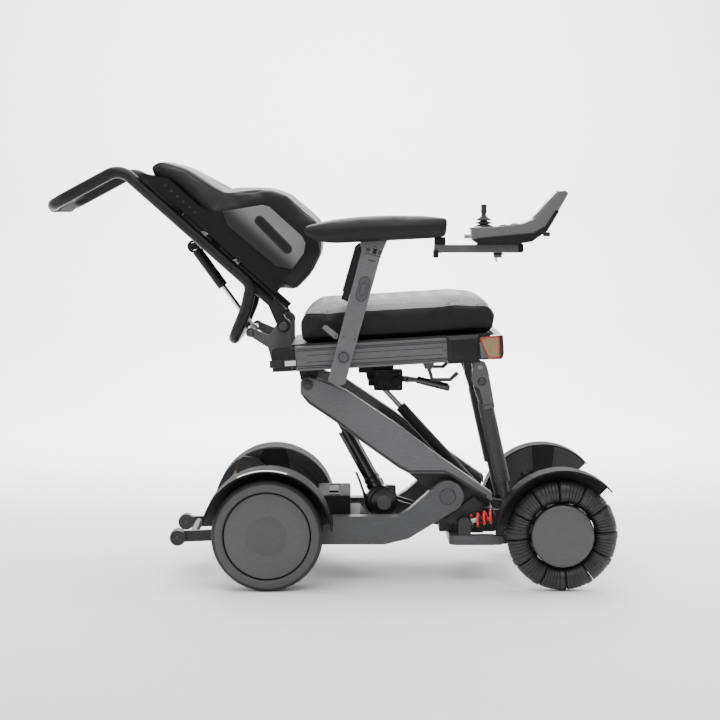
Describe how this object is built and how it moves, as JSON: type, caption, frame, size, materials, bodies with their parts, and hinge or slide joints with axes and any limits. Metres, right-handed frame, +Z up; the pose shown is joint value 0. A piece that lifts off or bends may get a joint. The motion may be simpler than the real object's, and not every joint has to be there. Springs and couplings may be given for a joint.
{
  "type": "power wheelchair",
  "caption": "Four-wheel power wheelchair with side lift arms, level-lifting seat, reclining back, flip-up armrests and a joystick.",
  "frame": {"origin": "on the ground under the middle of the whole chair", "axes": "+X forward, -Y the user's right-hand side, +Z up"},
  "size_m": [1.359, 0.594, 1.0196],
  "materials": {
    "tyre_rubber": "matt black rubber",
    "wheel_cover": "satin dark grey moulded disc",
    "brushed_cover": "satin grey cap",
    "frame_grey": "dark grey satin powder coat",
    "dark_metal": "black satin coat",
    "black_plastic": "fine grained black plastic",
    "rail_aluminium": "dark anodised aluminium",
    "trim_grey": "satin grey plastic",
    "pin_steel": "dark steel",
    "chrome_rod": "polished chrome",
    "spring_red": "red powder coat",
    "lamp_amber": "amber lens",
    "cushion_leather": "black leather sides with grey mesh"
  },
  "bodies": {
    "chassis": {"rear_axles": "dark_metal", "rear_fenders": "black_plastic", "rear_beams": "frame_grey", "anti_tip_frame": "frame_grey", "battery_pack": "black_plastic", "front_chassis": "dark_metal", "front_subframe": "frame_grey", "spring_brackets": "frame_grey", "chassis_pins": "pin_steel", "shock_spring_right": "spring_red", "shock_spring_left": "spring_red"},
    "lift": {"lift_arms": "frame_grey", "arm_gussets": "dark_metal", "arm_cross_tube": "dark_metal"},
    "lift_motor": {"lift_actuator_body": "black_plastic"},
    "lift_rod": {"lift_actuator_rod": "dark_metal"},
    "tilt_tube": {"tilt_actuator_tube": "dark_metal"},
    "tilt_rod": {"tilt_actuator_rod": "chrome_rod"},
    "strut_upper": {"strut_uppers": "dark_metal"},
    "strut_lower": {"strut_lowers": "dark_metal"},
    "seat": {"seat_rails": "rail_aluminium", "seat_pan": "rail_aluminium", "seat_pins": "pin_steel", "seat_brackets": "rail_aluminium", "rail_trims": "black_plastic", "side_lamps": "lamp_amber", "seat_cushion": "cushion_leather", "control_box": "black_plastic"},
    "release_lever": {"release_lever": "black_plastic"},
    "latch_handle": {"latch_handle": "dark_metal"},
    "backrest": {"back_frame": "dark_metal", "push_handle": "dark_metal", "back_shell": "black_plastic", "back_side_trims": "trim_grey", "back_cushion": "cushion_leather"},
    "recline_rod": {"recline_rod": "chrome_rod"},
    "recline_tube": {"recline_tube": "dark_metal"},
    "armrest_right": {"armrest_post_right": "frame_grey", "arm_pad_right": "cushion_leather", "swing_pivot": "black_plastic"},
    "armrest_left": {"armrest_post_left": "frame_grey", "arm_pad_left": "cushion_leather"},
    "joystick_arm": {"joystick_arm": "frame_grey", "controller_case": "black_plastic"},
    "stick_gimbal": {"stick_gimbal": "black_plastic"},
    "stick": {"joystick_stick": "black_plastic"},
    "rear_wheel_right": {"rear_tyre_right": "tyre_rubber", "rear_rim_right": "wheel_cover"},
    "front_wheel_right": {"front_hub_right": "brushed_cover", "front_rollers_right": "tyre_rubber"},
    "suspension_right": {"swing_arm_right": "dark_metal", "front_fender_right": "black_plastic"},
    "anti_tip_right": {"anti_tip_wheel_right": "tyre_rubber"},
    "rear_wheel_left": {"rear_tyre_left": "tyre_rubber", "rear_rim_left": "wheel_cover"},
    "front_wheel_left": {"front_hub_left": "brushed_cover", "front_rollers_left": "tyre_rubber"},
    "suspension_left": {"swing_arm_left": "dark_metal", "front_fender_left": "black_plastic"},
    "anti_tip_left": {"anti_tip_wheel_left": "tyre_rubber"}
  },
  "joints": [
    {"name": "seat_lift", "type": "hinge", "parent": "chassis", "child": "lift", "pos_m": [0.28, 0, 0.212], "axis": [0, -1, 0], "range_deg": [0, 17]},
    {"name": "seat_level", "type": "hinge", "parent": "lift", "child": "seat", "pos_m": [-0.05621, 0, 0.48232], "axis": [0, -1, 0], "range_deg": [-17.2, 0.2]},
    {"name": "lift_motor_swing", "type": "hinge", "parent": "chassis", "child": "lift_motor", "pos_m": [0.129, 0, 0.1775], "axis": [0, -1, 0], "range_deg": [-0.5, 22]},
    {"name": "lift_rod_slide", "type": "slide", "parent": "lift_motor", "child": "lift_rod", "axis": [-0.4826, 0, 0.8759], "range_m": [-0.043, 0.001]},
    {"name": "tilt_tube_swing", "type": "hinge", "parent": "chassis", "child": "tilt_tube", "pos_m": [0.374, -0.06, 0.196], "axis": [0, -1, 0], "range_deg": [-0.5, 19]},
    {"name": "tilt_rod_slide", "type": "slide", "parent": "tilt_tube", "child": "tilt_rod", "axis": [-0.6782, 0, 0.7349], "range_m": [-0.0185, 0.0005]},
    {"name": "strut_swing", "type": "hinge", "parent": "seat", "child": "strut_upper", "pos_m": [0.3506, 0, 0.517], "axis": [0, -1, 0], "range_deg": [-0.5, 17.2]},
    {"name": "strut_slide", "type": "slide", "parent": "strut_upper", "child": "strut_lower", "axis": [0.2185, 0, -0.9758], "range_m": [-0.0815, 0.0005]},
    {"name": "back_recline", "type": "hinge", "parent": "seat", "child": "backrest", "pos_m": [-0.113, 0, 0.6225], "axis": [0, 1, 0], "range_deg": [0, 30]},
    {"name": "recline_rod_swing", "type": "hinge", "parent": "seat", "child": "recline_rod", "pos_m": [-0.193, 0, 0.607], "axis": [0, 1, 0], "range_deg": [-0.5, 32]},
    {"name": "recline_tube_slide", "type": "slide", "parent": "recline_rod", "child": "recline_tube", "axis": [-0.5891, 0, 0.808], "range_m": [-0.0005, 0.0412]},
    {"name": "rear_wheel_right_spin", "type": "hinge", "parent": "chassis", "child": "rear_wheel_right", "pos_m": [-0.151, -0.248, 0.1325], "axis": [0, 1, 0], "continuous": true},
    {"name": "suspension_right_travel", "type": "hinge", "parent": "chassis", "child": "suspension_right", "pos_m": [0.406, -0.17, 0.106], "axis": [0, -1, 0], "range_deg": [0, 6], "stiffness_Nm_per_rad": 220, "springref_deg": -16.04, "deforming": ["shock_spring_right"]},
    {"name": "front_wheel_right_spin", "type": "hinge", "parent": "suspension_right", "child": "front_wheel_right", "pos_m": [0.547, -0.26, 0.1325], "axis": [0, 1, 0], "continuous": true},
    {"name": "anti_tip_right_spin", "type": "hinge", "parent": "chassis", "child": "anti_tip_right", "pos_m": [-0.374, -0.132, 0.105], "axis": [0, 1, 0], "continuous": true},
    {"name": "armrest_right_flip", "type": "hinge", "parent": "seat", "child": "armrest_right", "pos_m": [0.03, -0.238, 0.553], "axis": [0, -1, 0], "range_deg": [0, 75]},
    {"name": "rear_wheel_left_spin", "type": "hinge", "parent": "chassis", "child": "rear_wheel_left", "pos_m": [-0.151, 0.248, 0.1325], "axis": [0, 1, 0], "continuous": true},
    {"name": "suspension_left_travel", "type": "hinge", "parent": "chassis", "child": "suspension_left", "pos_m": [0.406, 0.17, 0.106], "axis": [0, -1, 0], "range_deg": [0, 6], "stiffness_Nm_per_rad": 220, "springref_deg": -16.04, "deforming": ["shock_spring_left"]},
    {"name": "front_wheel_left_spin", "type": "hinge", "parent": "suspension_left", "child": "front_wheel_left", "pos_m": [0.547, 0.26, 0.1325], "axis": [0, 1, 0], "continuous": true},
    {"name": "anti_tip_left_spin", "type": "hinge", "parent": "chassis", "child": "anti_tip_left", "pos_m": [-0.374, 0.132, 0.105], "axis": [0, 1, 0], "continuous": true},
    {"name": "armrest_left_flip", "type": "hinge", "parent": "seat", "child": "armrest_left", "pos_m": [0.03, 0.238, 0.553], "axis": [0, -1, 0], "range_deg": [0, 75]},
    {"name": "joystick_swing", "type": "hinge", "parent": "armrest_right", "child": "joystick_arm", "pos_m": [0.256, -0.25, 0.809], "axis": [0, 0, -1], "range_deg": [0, 80]},
    {"name": "stick_pitch", "type": "hinge", "parent": "joystick_arm", "child": "stick_gimbal", "pos_m": [0.359, -0.25, 0.852], "axis": [0, 1, 0], "range_deg": [-18, 18], "stiffness_Nm_per_rad": 0.15},
    {"name": "stick_roll", "type": "hinge", "parent": "stick_gimbal", "child": "stick", "pos_m": [0.359, -0.25, 0.852], "axis": [1, 0, 0], "range_deg": [-18, 18], "stiffness_Nm_per_rad": 0.15},
    {"name": "release_lever_pull", "type": "hinge", "parent": "seat", "child": "release_lever", "pos_m": [0.183, -0.1135, 0.49], "axis": [0, 1, 0], "range_deg": [0, 25]},
    {"name": "latch_pull", "type": "hinge", "parent": "seat", "child": "latch_handle", "pos_m": [0.232, -0.196, 0.528], "axis": [0, 1, 0], "range_deg": [0, 20]}
  ],
  "couplings": [
    {"joint": "seat_level", "follows": "seat_lift", "ratio": -1},
    {"joint": "lift_motor_swing", "follows": "seat_lift", "ratio": 1.2484},
    {"joint": "lift_rod_slide", "follows": "seat_lift", "m_per_rad": -0.14017},
    {"joint": "tilt_tube_swing", "follows": "seat_lift", "ratio": 1.074},
    {"joint": "tilt_rod_slide", "follows": "seat_lift", "m_per_rad": -0.0605},
    {"joint": "strut_swing", "follows": "seat_lift", "ratio": 0.9791},
    {"joint": "strut_slide", "follows": "seat_lift", "m_per_rad": -0.27067},
    {"joint": "recline_rod_swing", "follows": "back_recline", "ratio": 1.0495},
    {"joint": "recline_tube_slide", "follows": "back_recline", "m_per_rad": 0.07763}
  ]
}
